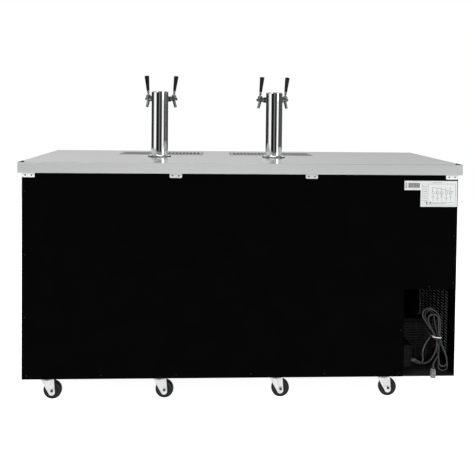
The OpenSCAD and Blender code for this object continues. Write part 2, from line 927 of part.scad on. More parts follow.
module evaporator_fan() {
    color("#4a4c4e")
        translate([evap_fan_x, evap_y0 + 19, evap_fan_z])
            fan_wheel(evap_fan_r, 12, 12, 3 + run_gap, 5);
}

// Mains lead

// Direction of the route at point i
function dir(p, i) =
    let (a = p[max(i - 1, 0)], b = p[min(i + 1, len(p) - 1)])
    (b - a) / norm(b - a);

// Smooth route through the points, with n steps between two points
function smooth(p, n) =
    [for (i = [0:len(p) - 2], k = [0:n - 1])
        let (
            t = k / n,
            a = p[i],
            b = p[i + 1],
            m0 = dir(p, i) * norm(b - a),
            m1 = dir(p, i + 1) * norm(b - a)
        )
        a * (2 * t ^ 3 - 3 * t ^ 2 + 1) + m0 * (t ^ 3 - 2 * t ^ 2 + t)
        + b * (3 * t ^ 2 - 2 * t ^ 3) + m1 * (t ^ 3 - t ^ 2)];

// A tube swept along a list of points
module tube(points, r, sides) {
    p = concat(smooth(points, 2), [points[len(points) - 1]]);
    n = len(p);
    up = [0.31, 0.12, 0.94];
    rings = [for (i = [0:n - 1], s = [0:sides - 1])
        let (
            d = dir(p, i),
            u = cross(up, d) / norm(cross(up, d)),
            v = cross(d, u),
            a = 360 * s / sides
        )
        p[i] + r * (u * cos(a) + v * sin(a))];
    walls = [for (i = [0:n - 2], s = [0:sides - 1])
        let (a = i * sides + s, b = i * sides + (s + 1) % sides)
        [a, a + sides, b + sides, b]];
    first = [for (s = [0:sides - 1]) s];
    last = [for (s = [sides - 1:-1:0]) (n - 1) * sides + s];
    polyhedron(rings, concat([first], walls, [last]));
}

// The lead's two free stretches
module cord_lead() {
    color("#1c1c1c") {
        tube(lead_pts, cord_d / 2, 10);
        tube(tail_pts, cord_d / 2, 10);
    }
}

// Points along an arc about c, from angle a0 to a1
function arc(end, a0, a1) =
    [for (k = [0:8]) end[0] + end[1] * [cos(a0 + (a1 - a0) * k / 8), sin(a0 + (a1 - a0) * k / 8)]];

// Outer shape of the tied hank: two round ends above the tie and one below
module cord_hank() {
    color("#222222")
        plate_y(hank_y[0], hank_y[1])
            polygon(concat(
                [hank_tie[0]], arc(hank_ends[0], -35, 95), arc(hank_ends[1], 75, 190),
                [hank_tie[1]], arc(hank_ends[2], 165, 375)
            ));
}

// Moulded plug in its cover, hanging over the base pan's back edge
module cord_plug() {
    p = tail_pts[len(tail_pts) - 1];
    top = p.z - plug_relief;
    color("#c9cccd") {
        translate([p.x - plug_size.x / 2, p.y - plug_size.y / 2, top - plug_size.z])
            cube(plug_size);
        translate([p.x, p.y, top - 0.5])
            cylinder(h = plug_relief + 0.5, r1 = 8, r2 = 5);
    }
}

rear_panel();
box_side_skins();
side_panel_vented();
base_pan();
foam_insulation();
inner_liner();
front_frame();
countertop();
top_brackets();
door_hinges();
front_grille();
caster_plates();
for (k = [1:8])
    caster_fork(k);
for (k = [1:8])
    caster_wheel(k);
for (i = [1:door_n])
    door_skin(i);
for (i = [1:door_n])
    door_liner(i);
for (i = [1:door_n])
    door_gasket(i);
for (i = [1:door_n])
    door_lock(i);
tower_columns();
tower_caps();
faucets();
for (n = [1:4])
    tap_lever(n);
compressor();
condenser();
condenser_fan();
refrigerant_lines();
electrical_box();
evaporator();
evaporator_fan();
drip_trays();
for (t = [1, 2])
    drip_grate(t);
cord_lead();
cord_hank();
cord_plug();
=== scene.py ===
"""Looks of a kegerator seen from behind: its machine bay is open, with the mains lead tied up in it."""
import json
import math
import bmesh
import bpy
from mathutils import Matrix, Vector


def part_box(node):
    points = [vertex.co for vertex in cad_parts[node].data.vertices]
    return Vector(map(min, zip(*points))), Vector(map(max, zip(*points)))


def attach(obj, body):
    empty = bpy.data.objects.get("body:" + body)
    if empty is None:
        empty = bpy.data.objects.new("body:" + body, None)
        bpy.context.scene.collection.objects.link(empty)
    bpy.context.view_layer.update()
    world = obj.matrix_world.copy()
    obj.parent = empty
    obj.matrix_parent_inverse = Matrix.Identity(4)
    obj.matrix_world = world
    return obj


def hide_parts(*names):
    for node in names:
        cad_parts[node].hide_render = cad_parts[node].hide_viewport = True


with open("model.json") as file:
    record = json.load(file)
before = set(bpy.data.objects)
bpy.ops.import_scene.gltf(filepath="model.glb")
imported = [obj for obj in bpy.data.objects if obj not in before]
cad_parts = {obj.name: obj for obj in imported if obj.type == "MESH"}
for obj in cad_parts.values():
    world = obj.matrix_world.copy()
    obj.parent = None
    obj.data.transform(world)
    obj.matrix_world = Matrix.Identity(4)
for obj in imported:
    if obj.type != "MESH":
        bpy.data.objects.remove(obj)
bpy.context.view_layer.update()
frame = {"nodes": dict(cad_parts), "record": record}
RECORD = frame["record"]
NODE_BODY = {n: b for b, ns in RECORD["behaviour"]["bodies"].items() for n in ns}
JOINTS = {j["name"]: j for j in RECORD["behaviour"]["joints"]}
SLOT_OF = {s["node"]: s["material_slot"] for s in RECORD["subparts"]}
MM = 0.001


def mm(*values):
    """A point or size given in millimetres."""
    return Vector([v * MM for v in values])


def add_object(name, data):
    """A new object in the scene."""
    obj = bpy.data.objects.new(name, data)
    bpy.context.scene.collection.objects.link(obj)
    return obj


# ---------------------------------------------------------------- camera

def add_camera():
    """The camera, behind the cabinet and a little above its worktop."""
    yaw, pitch, roll = 0.0452, 0.0283, 0.0107
    ahead = Vector((-math.sin(yaw) * math.cos(pitch), -math.cos(yaw) * math.cos(pitch), -math.sin(pitch)))
    right = Vector((-math.cos(yaw), math.sin(yaw), 0))
    up = right.cross(ahead)
    side = math.cos(roll) * right + math.sin(roll) * up
    top = math.cos(roll) * up - math.sin(roll) * right
    turn = Matrix((side, top, -ahead)).transposed().to_4x4()
    data = bpy.data.cameras.new("camera")
    data.lens = 48.49
    data.sensor_width = 36
    data.shift_y = -0.2386
    data.clip_end = 60
    camera = add_object("camera", data)
    camera.matrix_world = Matrix.Translation((0.1477, 2.9722, 1.2372)) @ turn
    bpy.context.scene.camera = camera


# ---------------------------------------------------------------- materials

def rgba(value):
    """A colour with its alpha, from a colour or an even grey."""
    return (*value, 1) if isinstance(value, tuple) else (value, value, value, 1)


def node(tree, kind, **values):
    """A shader node with its properties or input values set."""
    made = tree.nodes.new(kind)
    for key, value in values.items():
        if key in made.inputs:
            made.inputs[key].default_value = value
        else:
            setattr(made, key, value)
    return made


def tone(tree, source, low, high, start=0.3, stop=0.7):
    """A colour ramp from low to high over part of a source's range."""
    ramp = node(tree, "ShaderNodeValToRGB")
    first, last = ramp.color_ramp.elements
    first.position, last.position = start, stop
    first.color, last.color = rgba(low), rgba(high)
    tree.links.new(source, ramp.inputs["Fac"])
    return ramp.outputs["Color"]


FINISH = {}


def surface(name, color, rough, metal=0.0, spread=0.12, grain=60, rough_spread=0.08,
            bump=0.1, bump_grain=900, bump_deep=0.0001, **sockets):
    """A procedural finish: its colour and roughness drift over the surface, with a fine bump."""
    grain, bump_grain = [g if isinstance(g, tuple) else (g, g, g) for g in (grain, bump_grain)]
    made = FINISH[name] = bpy.data.materials.new(name)
    made.use_nodes = True
    tree = made.node_tree
    link = tree.links.new
    shader = tree.nodes["Principled BSDF"]
    shader.inputs["Metallic"].default_value = metal
    for key, value in sockets.items():
        shader.inputs[key.replace("_", " ")].default_value = value
    where = node(tree, "ShaderNodeTexCoord").outputs["Object"]

    def noise(scale, detail):
        stretch = node(tree, "ShaderNodeMapping", Scale=scale)
        link(where, stretch.inputs["Vector"])
        made_noise = node(tree, "ShaderNodeTexNoise", Scale=1.0, Detail=detail)
        link(stretch.outputs["Vector"], made_noise.inputs["Vector"])
        return made_noise.outputs["Fac"]

    low = tuple(c * (1 - spread) for c in color)
    high = tuple(min(1.0, c * (1 + spread)) for c in color)
    link(tone(tree, noise(grain, 4.0), low, high), shader.inputs["Base Color"])
    slow = noise(tuple(g * 0.23 for g in grain), 3.0)
    smooth, dull = max(0.0, rough - rough_spread), min(1.0, rough + rough_spread)
    link(tone(tree, slow, smooth, dull), shader.inputs["Roughness"])
    if bump:
        relief = node(tree, "ShaderNodeBump", Strength=bump, Distance=bump_deep)
        link(noise(bump_grain, 2.0), relief.inputs["Height"])
        link(relief.outputs["Normal"], shader.inputs["Normal"])
    return made


# The record's slots
surface("black_skin", (0.0009, 0.0009, 0.001), 0.5, spread=0.3, grain=9, bump=0.2, bump_grain=700,
        Specular_IOR_Level=0.012)
surface("galvanized", (0.13, 0.133, 0.137), 0.45, metal=0.9, grain=70)
surface("foam", (0.72, 0.62, 0.32), 0.9, bump=0.6, bump_grain=500, bump_deep=0.0004)
surface("liner_sheet", (0.62, 0.63, 0.64), 0.4, metal=0.85, grain=30, bump=0.5, bump_grain=160,
        bump_deep=0.0005)
surface("breaker_plastic", (0.02, 0.02, 0.022), 0.5, bump=0.3)
surface("worktop_steel", (0.68, 0.685, 0.69), 0.17, metal=1.0, spread=0.012, grain=(3, 700, 700),
        rough_spread=0.012, bump=0.012, bump_grain=(5, 1600, 1600), bump_deep=0.00003)
surface("zinc_plate", (0.6, 0.607, 0.615), 0.36, metal=0.75, grain=180, rough_spread=0.1)
surface("polished_steel", (0.83, 0.84, 0.85), 0.05, metal=1.0, spread=0.03, grain=(40, 40, 9),
        rough_spread=0.025, bump=0.03)
# Chrome of the taps and levers, toned far below real chrome: painted dark reflection.
surface("polished_chrome", (0.16, 0.162, 0.166), 0.05, metal=1.0, spread=0.04, grain=90,
        rough_spread=0.03, bump=0.04)
surface("compressor_paint", (0.006, 0.006, 0.0065), 0.35, spread=0.3, bump=0.3, bump_grain=260,
        bump_deep=0.0003, Specular_IOR_Level=0.3)
surface("coil_metal", (0.016, 0.0163, 0.017), 0.45, metal=0.8, spread=0.3, grain=200)
surface("fan_plastic", (0.012, 0.012, 0.013), 0.4, Specular_IOR_Level=0.3)
# Copper toned down to near black: painted shade of the enclosed machine bay.
surface("copper", (0.09, 0.042, 0.028), 0.38, metal=1.0, spread=0.3, grain=120)
surface("box_plastic", (0.003, 0.003, 0.0032), 0.6, bump=0.4, Specular_IOR_Level=0.05)
surface("grate_steel", (0.3, 0.304, 0.31), 0.25, metal=1.0, spread=0.06, grain=(8, 500, 500),
        rough_spread=0.06)
surface("cord_jacket", (0.007, 0.007, 0.0073), 0.3, spread=0.2, grain=90, bump=0.2, bump_grain=500)
surface("plug_cover", (0.3, 0.305, 0.31), 0.22, spread=0.4, grain=160, bump=0.6,
        bump_grain=(220, 220, 60), bump_deep=0.0008, Transmission_Weight=0.45, IOR=1.4)
surface("wheel_rubber", (0.004, 0.004, 0.0042), 0.4, spread=0.3, grain=150, rough_spread=0.12,
        bump=0.3, bump_grain=700, Specular_IOR_Level=0.2)
surface("door_plastic", (0.66, 0.66, 0.64), 0.45, spread=0.04, bump=0.25)
surface("gasket_rubber", (0.03, 0.03, 0.03), 0.6, spread=0.2)
surface("lock_metal", (0.6, 0.61, 0.62), 0.18, metal=1.0, grain=200)
surface("handle_plastic", (0.003, 0.003, 0.003), 0.2, spread=0.2, rough_spread=0.05, bump=0.05,
        Specular_IOR_Level=0.15)
# Second materials of single pieces
surface("loom", (0.07, 0.07, 0.073), 0.5, spread=0.25, grain=300)
surface("tie", (0.85, 0.85, 0.84), 0.35, spread=0.05)
surface("paper", (0.66, 0.665, 0.67), 0.45, spread=0.03, grain=80)
surface("ink", (0.06, 0.06, 0.064), 0.5, spread=0.3, grain=700)
surface("dark_steel", (0.05, 0.05, 0.052), 0.35, metal=0.8)
surface("wheel_core", (0.045, 0.045, 0.047), 0.45, spread=0.5, grain=160, bump=0.5, bump_grain=420,
        bump_deep=0.0004)
surface("vent_steel", (0.28, 0.284, 0.29), 0.5, metal=0.6, spread=0.3)
# A dark copy of the polished steel for the tower flanges: painted dark reflection.
surface("flange_painted_dark", (0.13, 0.132, 0.135), 0.12, metal=1.0)
surface("worktop_edge", (0.68, 0.685, 0.69), 0.29, metal=1.0, spread=0.01, grain=(3, 700, 700),
        rough_spread=0.01, bump=0.01, bump_grain=(5, 1600, 1600), bump_deep=0.00003)
# A darker copy of the worktop steel for its bevelled edges: painted shade.
surface("worktop_fold_shade", (0.45, 0.453, 0.458), 0.3, metal=1.0, grain=(3, 700, 700))
surface("clip_zinc", (0.88, 0.885, 0.89), 0.4, metal=0.5, spread=0.06, grain=180)
# A darker, duller copy of the clip finish for the two middle clips: painted shade.
surface("clip_zinc_shaded", (0.66, 0.665, 0.67), 0.36, metal=0.7, grain=180)
surface("dull_screw", (0.2, 0.203, 0.207), 0.4, metal=0.8, grain=300)
# A dark copy of the steel for the drip trays: painted shade in the recessed trays.
surface("tray_steel_shaded", (0.12, 0.122, 0.125), 0.3, metal=1.0, grain=(8, 300, 300))


# ---------------------------------------------------------------- mesh helpers

def finish_mesh(obj, width, sharp=35, segments=2):
    """Smooth shading that keeps its edges, and a small bevel on every hard edge."""
    for face in obj.data.polygons:
        face.use_smooth = True
    obj.data.set_sharp_from_angle(angle=math.radians(sharp))
    if width:
        ease = obj.modifiers.new("eased_edges", "BEVEL")
        ease.width = width
        ease.segments = segments
        ease.limit_method = "ANGLE"
        ease.angle_limit = math.radians(sharp)
        ease.harden_normals = True
    even = obj.modifiers.new("even_normals", "WEIGHTED_NORMAL")
    even.keep_sharp = True
    return obj


def place(obj, body, replaces=()):
    """Put a finished piece on its body and the CAD nodes it stands for."""
    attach(obj, body)
    if replaces:
        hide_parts(*replaces)
    return obj


def piece(name, bm, finishes, width=0.0, replaces=(), sharp=35, body="cabinet"):
    """A new piece from a bmesh, in the row frame."""
    bmesh.ops.remove_doubles(bm, verts=bm.verts, dist=1e-7)
    bmesh.ops.recalc_face_normals(bm, faces=bm.faces)
    mesh = bpy.data.meshes.new(name)
    bm.to_mesh(mesh)
    bm.free()
    for finish in finishes:
        mesh.materials.append(FINISH[finish])
    obj = add_object(name, mesh)
    finish_mesh(obj, width, sharp)
    return place(obj, body, replaces)


def refine(name, width=0.0006, finish=None):
    """A copy of a CAD node with its edges eased, which then stands for the node."""
    bm = bmesh.new()
    bm.from_mesh(frame["nodes"][name].data)
    bmesh.ops.remove_doubles(bm, verts=bm.verts, dist=2e-6)
    bmesh.ops.dissolve_limit(bm, angle_limit=math.radians(0.5), verts=bm.verts, edges=bm.edges)
    mark(bm.faces, 0)
    slot = SLOT_OF[name]
    return piece(name + "_look", bm, [finish or slot], width, [name], 30, NODE_BODY[name])


def mark(faces, index):
    """Give faces a material of the piece."""
    for face in faces:
        face.material_index = index


def angles(count):
    """Evenly spaced angles round a full turn."""
    return [2 * math.pi * k / count for k in range(count)]


def add_loft(bm, outlines, index=0, closed=False):
    """Faces from each outline to the next, and over both ends unless they run round."""
    rings = [[bm.verts.new(point) for point in outline] for outline in outlines]
    following = rings[1:] + rings[:1] if closed else rings[1:]
    for low, high in zip(rings, following):
        for k in range(len(low)):
            bm.faces.new((low[k - 1], low[k], high[k], high[k - 1])).material_index = index
    if not closed:
        bm.faces.new(rings[0]).material_index = index
        bm.faces.new(rings[-1]).material_index = index


def add_box(bm, low, high, index=0, turn=Matrix()):
    """A block between two corners, in metres."""
    made = bmesh.ops.create_cube(bm, size=1.0)
    middle = (Vector(low) + Vector(high)) / 2
    size = Vector(high) - Vector(low)
    fit = turn @ Matrix.Translation(middle) @ Matrix.Diagonal((*size, 1))
    bmesh.ops.transform(bm, matrix=fit, verts=made["verts"])
    mark({f for v in made["verts"] for f in v.link_faces}, index)


def add_lathe(bm, profile, turn=Matrix(), index=0, steps=48, outline=None):
    """A turned form about Z from (radius, height) points; outline scales the radius by angle."""
    rings = []
    for radius, height in profile:
        if radius < 1e-9:
            rings.append([bm.verts.new(turn @ Vector((0, 0, height)))])
            continue
        ring = []
        for angle in angles(steps):
            reach = radius * (outline(angle) if outline else 1)
            spot = Vector((reach * math.cos(angle), reach * math.sin(angle), height))
            ring.append(bm.verts.new(turn @ spot))
        rings.append(ring)
    for low, high in zip(rings, rings[1:]):
        for k in range(steps):
            after = (k + 1) % steps
            corners = [low[k % len(low)], low[after % len(low)]]
            corners += [high[after % len(high)], high[k % len(high)]]
            corners = list(dict.fromkeys(corners))
            if len(corners) > 2:
                bm.faces.new(corners).material_index = index
    for ring in (rings[0], rings[-1]):
        if len(ring) > 1:
            bm.faces.new(ring).material_index = index


def curve_points(points, steps=6):
    """A smooth line through the points."""
    points = [Vector(p) for p in points]
    padded = [2 * points[0] - points[1], *points, 2 * points[-1] - points[-2]]
    line = []
    for a, b, c, d in zip(padded, padded[1:], padded[2:], padded[3:]):
        for k in range(steps):
            t = k / steps
            line.append(0.5 * (2 * b + (c - a) * t + (2 * a - 5 * b + 4 * c - d) * t * t
                               + (3 * b - a - 3 * c + d) * t ** 3))
    return [*line, points[-1]]


def add_tube(bm, points, radius, index=0, sides=12, closed=False):
    """A round tube along points; radius is one number or a function of 0 to 1 along it."""
    points = [Vector(p) for p in points]
    count = len(points)
    reach = radius if callable(radius) else (lambda t: radius)
    outlines = []
    side = None
    for k, point in enumerate(points):
        if closed:
            ahead = points[(k + 1) % count] - points[k - 1]
        else:
            ahead = points[min(k + 1, count - 1)] - points[max(k - 1, 0)]
        ahead.normalize()
        if side is None:
            side = ahead.orthogonal()
        side = (side - ahead * side.dot(ahead)).normalized()
        up = ahead.cross(side)
        r = reach(k / max(1, count - 1))
        outlines.append([point + r * (side * math.cos(a) + up * math.sin(a)) for a in angles(sides)])
    add_loft(bm, outlines, index, closed)


def facing(point, direction):
    """A turn that takes +Z to a direction, at a point."""
    return Matrix.Translation(point) @ Vector(direction).to_track_quat("Z", "Y").to_matrix().to_4x4()


def add_screw(bm, point, direction, radius, index=0, slot_index=None):
    """A domed screw head with a cross for its recess; a cross darker than the head is painted shade."""
    turn = facing(point, direction)
    add_lathe(bm, [(0, 0), (radius, 0), (radius, radius * 0.2), (radius * 0.86, radius * 0.42),
                   (radius * 0.55, radius * 0.56), (0, radius * 0.6)], turn, index, 20)
    arm = radius * 0.55
    thin = radius * 0.11
    # The cross stands just proud of the dome in the slot_index finish; where that is darker than the head,
    # it paints the recess's shade.
    for size in ((arm, thin), (thin, arm)):
        low = (-size[0], -size[1], radius * 0.5)
        high = (size[0], size[1], radius * 0.63)
        add_box(bm, low, high, index if slot_index is None else slot_index, turn)


# ---------------------------------------------------------------- mains lead

CORD_D = 0.0075
LEAD_FREE = [
    (-744, 314, 163), (-752, 315, 160), (-762, 318, 154), (-774, 321, 150.5), (-787, 324, 153),
    (-799, 327, 161), (-809, 330, 173), (-818, 333, 190), (-824.5, 335, 208), (-828, 335, 226),
    (-829, 334, 243), (-829, 330, 258),
]
LOOP_HIGH = [
    (-827.5, 329, 264), (-819, 327.7, 280), (-807, 327.5, 298), (-794, 327.5, 316), (-781, 327.5, 334),
    (-771, 327.5, 350), (-768, 327.5, 364), (-772.3, 327, 377), (-783.3, 327, 384.8), (-797, 326.5, 386),
    (-811, 326, 382.5), (-824, 325, 374.5), (-835, 324, 363), (-842, 323, 347), (-846, 322, 326),
    (-847, 321, 302), (-846, 320.5, 280), (-845.5, 320, 262),
]
LOOP_LOW = [
    (-844, 320, 240), (-843.3, 320, 215), (-842.6, 320, 190), (-842.2, 320, 165), (-842, 320, 138),
    (-845.8, 320, 126.2), (-855.8, 320, 119), (-862, 320, 118), (-868.2, 320, 119), (-878.2, 319.6, 126.2),
    (-882, 319, 138), (-880, 317.5, 162), (-872, 315.5, 187), (-860, 314, 213), (-848, 313, 238),
    (-834.5, 313, 262),
]
LOOP_INNER = [
    (-825, 312.5, 280), (-815, 312.5, 298), (-804, 312.5, 316), (-793, 312.5, 334), (-785.5, 312.5, 345),
    (-784, 312.5, 356), (-787.4, 312.5, 366.6), (-796.4, 312.5, 373.1), (-802, 312.5, 374),
    (-807.6, 312.5, 373.1), (-816.6, 312.7, 366.6), (-821, 313, 355), (-824.5, 315, 332),
    (-828, 317.3, 308), (-833, 319.3, 284), (-837.5, 320, 262),
]
LOOP_LAST = [
    (-836, 320, 240), (-835, 321, 221), (-835, 325, 203), (-837.5, 327.5, 187), (-841, 328, 171),
    (-842.5, 328, 157), (-845.7, 328, 147), (-854.2, 328, 140.8), (-859.5, 328, 140), (-864.8, 328, 140.8),
    (-873.3, 328, 147), (-876.5, 328, 157), (-874.5, 328, 175), (-868, 328, 196), (-860, 328, 217),
    (-850, 328, 240), (-842, 327.7, 262), (-839.5, 327.7, 284), (-838.5, 327.7, 304), (-838, 327.7, 324),
    (-837, 327.7, 341), (-833, 327.7, 353.3), (-822.5, 327.5, 361), (-816, 327, 362), (-809.5, 326, 361),
    (-799, 323, 353.3), (-795, 320.5, 341), (-798, 320, 325), (-806, 320, 307), (-817, 320, 286),
    (-829.3, 320.3, 262), (-831, 324.3, 251),
]
TAIL_FREE = [
    (-833.5, 327.9, 240), (-836.5, 330.5, 227), (-838.5, 332, 214), (-837.5, 334.5, 202),
    (-833, 338.5, 191), (-826, 342.5, 182), (-818, 347, 173), (-811, 350.5, 163), (-809, 351, 153),
]


def add_cord():
    """The mains lead: out of its gland, around the tied loops and down to the plug."""
    route = [mm(*p) for p in [*LEAD_FREE, *LOOP_HIGH, *LOOP_LOW, *LOOP_INNER, *LOOP_LAST, *TAIL_FREE]]
    line = curve_points(route, 5)
    data = bpy.data.curves.new("mains_lead", "CURVE")
    data.dimensions = "3D"
    data.bevel_depth = CORD_D / 2
    data.bevel_resolution = 4
    data.use_fill_caps = True
    spline = data.splines.new("POLY")
    spline.points.add(len(line) - 1)
    for point, co in zip(spline.points, line):
        point.co = (*co, 1)
    data.materials.append(FINISH["cord_jacket"])
    lead = add_object("mains_lead", data)
    place(lead, "cabinet", ["cord_lead", "cord_hank"])
    return lead, line


def add_plug():
    """The moulded plug in a clear cover, with its ribbed strain relief."""
    low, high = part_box("cord_plug")
    top = Vector(((low.x + high.x) / 2, (low.y + high.y) / 2, high.z))
    bm = bmesh.new()

    def add_block(base, tip, half_x, half_y, index, waves):
        """A rounded block from base to tip, with ribs along it."""
        levels = 14
        outlines = []
        for k in range(levels + 1):
            t = k / levels
            close = 1 - 0.22 * max(0.0, t - 0.72) / 0.28 - 0.1 * max(0.0, 0.08 - t) / 0.08
            z = base + (tip - base) * t
            outline = []
            for a in angles(40):
                c, d = math.cos(a), math.sin(a)
                fat = (abs(c) ** 4 + abs(d) ** 4) ** -0.25
                fat *= close * (1 + waves * math.sin(10 * a) + 0.4 * waves * math.sin(9 * t + 3 * a))
                outline.append((top.x + half_x * fat * c, top.y + half_y * fat * d, z))
            outlines.append(outline)
        add_loft(bm, outlines, index)

    add_block(low.z, high.z - 0.013, 0.0102, 0.0088, 0, 0.03)
    add_block(low.z + 0.008, high.z - 0.016, 0.0082, 0.0068, 1, 0.0)
    relief = [(0.0066, -0.0185)]
    for k in range(6):
        height = -0.017 + 0.0027 * k
        relief += [(0.0066 - 0.0003 * k, height), (0.0066 - 0.0003 * k, height + 0.0015),
                   (0.0049, height + 0.0018), (0.0049, height + 0.0025)]
    relief.append((0.0046, 0.0))
    add_lathe(bm, relief, Matrix.Translation(top), 2, 28)
    return piece("mains_plug", bm, ["plug_cover", "wheel_core", "cord_jacket"],
                 replaces=["cord_plug"])


def add_tie():
    """The white tie around all strands of the hank."""
    bm = bmesh.new()
    half = mm(19, 12, 0)
    middle = mm(-832.5, 321.5, 264)
    line = []
    for a in angles(48):
        c, d = math.cos(a), math.sin(a)
        fat = (abs(c) ** 3 + abs(d) ** 3) ** (-1 / 3)
        tilt = 0.12 * half.x * c * fat
        line.append(middle + Vector((half.x * c * fat, half.y * d * fat, tilt)))
    add_tube(bm, line, 0.0017, 0, 8, closed=True)
    knot = middle + Vector((0.006, half.y + 0.001, 0.001))
    knot_line = curve_points([knot - mm(4, 0, 1), knot + mm(0, 1, 1), knot + mm(4, 1, 0)], 5)
    add_tube(bm, knot_line, 0.0019, 0, 8)
    piece("cord_tie", bm, ["tie"])


# ---------------------------------------------------------------- worktop and towers

def add_worktop():
    """The stainless top with eased edges, and black patches at its back corners: painted shade."""
    top = refine("countertop", 0.0022)
    for finish in ("worktop_edge", "worktop_fold_shade"):
        top.data.materials.append(FINISH[finish])
    # The bevel takes the darker steel copy: painted shade along the worktop's edges.
    top.modifiers["eased_edges"].material = 2
    for face in top.data.polygons:
        face.material_index = 0 if abs(face.normal.z) > 0.5 else 1
    low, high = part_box("countertop")
    bm = bmesh.new()
    back = high.y
    # Thin black triangles laid over the worktop's back corners: painted shade where the corners fall into
    # shadow.
    for side, edge in ((-1, low.x), (1, high.x)):
        corners = [(edge - side * 0.001, back - 0.004), (edge - side * 0.03, back - 0.004),
                   (edge - side * 0.001, back - 0.075)]
        add_loft(bm, [[(x, y, z) for x, y in corners] for z in (high.z - 0.0002, high.z + 0.0003)])
    piece("corner_shade_patches", bm, ["black_skin"])


def tower_axes():
    """The foot of each tower's axis on the worktop."""
    low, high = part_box("tower_columns")
    reach = (high.y - low.y) / 2
    middle = (low.y + high.y) / 2
    return [Vector((high.x - reach, middle, low.z)), Vector((low.x + reach, middle, low.z))]


def tap_frames():
    """The turn of each tap, with +X outwards, at its tower's axis; from the lever joints."""
    feet = tower_axes()
    turns = []
    for n in range(1, 5):
        pivot = Vector(JOINTS[f"lever_{n}_pull"]["pos_m"])
        foot = feet[0] if n < 3 else feet[1]
        out = Vector((pivot.x - foot.x, pivot.y - foot.y, 0))
        turn = Matrix.Translation((foot.x, foot.y, 0)) @ out.to_track_quat("X", "Z").to_matrix().to_4x4()
        turns.append((turn, out.length, pivot.z))
    return turns


def add_towers():
    """Two polished columns with their flanges, screws and caps."""
    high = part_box("tower_columns")[1]
    cap_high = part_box("tower_caps")[1].z
    bm = bmesh.new()
    for foot in tower_axes():
        turn = Matrix.Translation(foot)
        tall = high.z - foot.z
        # The flange ring takes the dark steel copy: painted dark reflection.
        add_lathe(bm, [(0.0366, 0.0), (0.054, 0.0), (0.054, 0.0026), (0.0532, 0.0036), (0.0515, 0.0042),
                       (0.0465, 0.0046), (0.0465, 0.003), (0.0366, 0.003)], turn, 2, 128)
        add_lathe(bm, [(0.0366, 0.0032), (0.0463, 0.0032), (0.0463, 0.0047), (0.0425, 0.0050),
                       (0.0402, 0.0058), (0.0388, 0.0075), (0.0382, 0.0093), (0.0366, 0.0093)], turn, 0, 128)
        add_lathe(bm, [(0.0366, 0.0094), (0.0379, 0.0094), (0.0381, 0.0105), (0.0381, 0.0115),
                       (0.0381, tall - 0.0018), (0.0381, tall - 0.0008), (0.0378, tall), (0.0366, tall)],
                  turn, 0, 128)
        for k in range(4):
            a = math.radians(90 * k + 62)
            spot = foot + Vector((0.0472 * math.cos(a), 0.0472 * math.sin(a), 0.0044))
            add_screw(bm, spot, (0, 0, 1), 0.0042, 0, 1)
        top = Matrix.Translation((foot.x, foot.y, high.z))
        rise = cap_high - high.z
        add_lathe(bm, [(0, 0.0002), (0.0372, 0.0002), (0.0386, 0.0005), (0.0389, 0.0012), (0.0386, 0.0019),
                       (0.0372, rise * 0.55), (0.03, rise * 0.75), (0.018, rise * 0.92), (0, rise)],
                  top, 0, 128)
    piece("tower_columns_look", bm, ["polished_steel", "dark_steel", "flange_painted_dark"],
          replaces=["tower_columns", "tower_caps"], sharp=40)


def add_taps():
    """Four taps: shank, knurled coupling nut, body, spout and cup, then the moving lever and handle."""
    for n, (turn, reach, pivot_z) in enumerate(tap_frames(), 1):
        z = pivot_z - 0.016
        out = turn @ Matrix.Translation((0, 0, z)) @ Matrix.Rotation(math.pi / 2, 4, "Y")
        bm = bmesh.new()
        add_lathe(bm, [(0.011, 0.033), (0.011, 0.0382), (0.0158, 0.0384), (0.0165, 0.0392),
                       (0.0165, 0.0408), (0.015, 0.0424), (0.0108, 0.0432), (0.0105, 0.053)], out, 0, 40)
        add_lathe(bm, [(0.0118, 0.0515), (0.0135, 0.0522), (0.0138, 0.0532), (0.0138, 0.0668),
                       (0.0132, 0.068), (0.0112, 0.0682)], out, 0, 72,
                  lambda a: 1 + 0.035 * (1 if math.sin(18 * a) > 0 else 0))
        add_lathe(bm, [(0.0085, 0.0675), (0.0096, 0.0682), (0.0096, 0.0705), (0.0089, 0.0715),
                       (0.0089, 0.0785), (0.0102, 0.083), (0.0106, 0.093), (0.0103, 0.1005),
                       (0.0091, 0.1045), (0.0072, 0.1062), (0.0058, 0.1072), (0.0058, 0.1082),
                       (0.0078, 0.1092), (0.008, 0.1145), (0.0066, 0.1172), (0, 0.1178)], out, 0, 40)
        cup = turn @ Matrix.Translation((reach, 0, z))
        add_lathe(bm, [(0.0082, -0.004), (0.0092, 0.003), (0.0098, 0.0075), (0.0113, 0.0085),
                       (0.0118, 0.0105), (0.0118, 0.0145), (0.0108, 0.0165), (0.0096, 0.0182),
                       (0.0088, 0.0182), (0.0082, 0.0155), (0.008, 0.012), (0, 0.011)], cup, 0, 40)
        bend = [Vector((reach - 0.002, 0, z - 0.003)), Vector((reach + 0.0015, 0, z - 0.012)),
                Vector((reach + 0.0065, 0, z - 0.024)), Vector((reach + 0.0126, 0, z - 0.0378))]
        line = [turn @ p for p in curve_points(bend, 6)]
        add_tube(bm, line, lambda t: 0.0076 - 0.0012 * t + (0.0007 if t > 0.93 else 0), 0, 24)
        ahead = (line[-1] - line[-2]).normalized()
        # A dark disc over the spout's mouth: painted shade of its bore.
        add_lathe(bm, [(0.0046, 0.0), (0.0046, 0.0006)], facing(line[-1] - ahead * 0.0002, ahead), 1, 20)
        piece(f"tap_{n}", bm, ["polished_chrome", "dark_steel"],
              replaces=["faucets"] if n == 1 else (), sharp=38)
        add_lever(n, turn, reach, pivot_z)


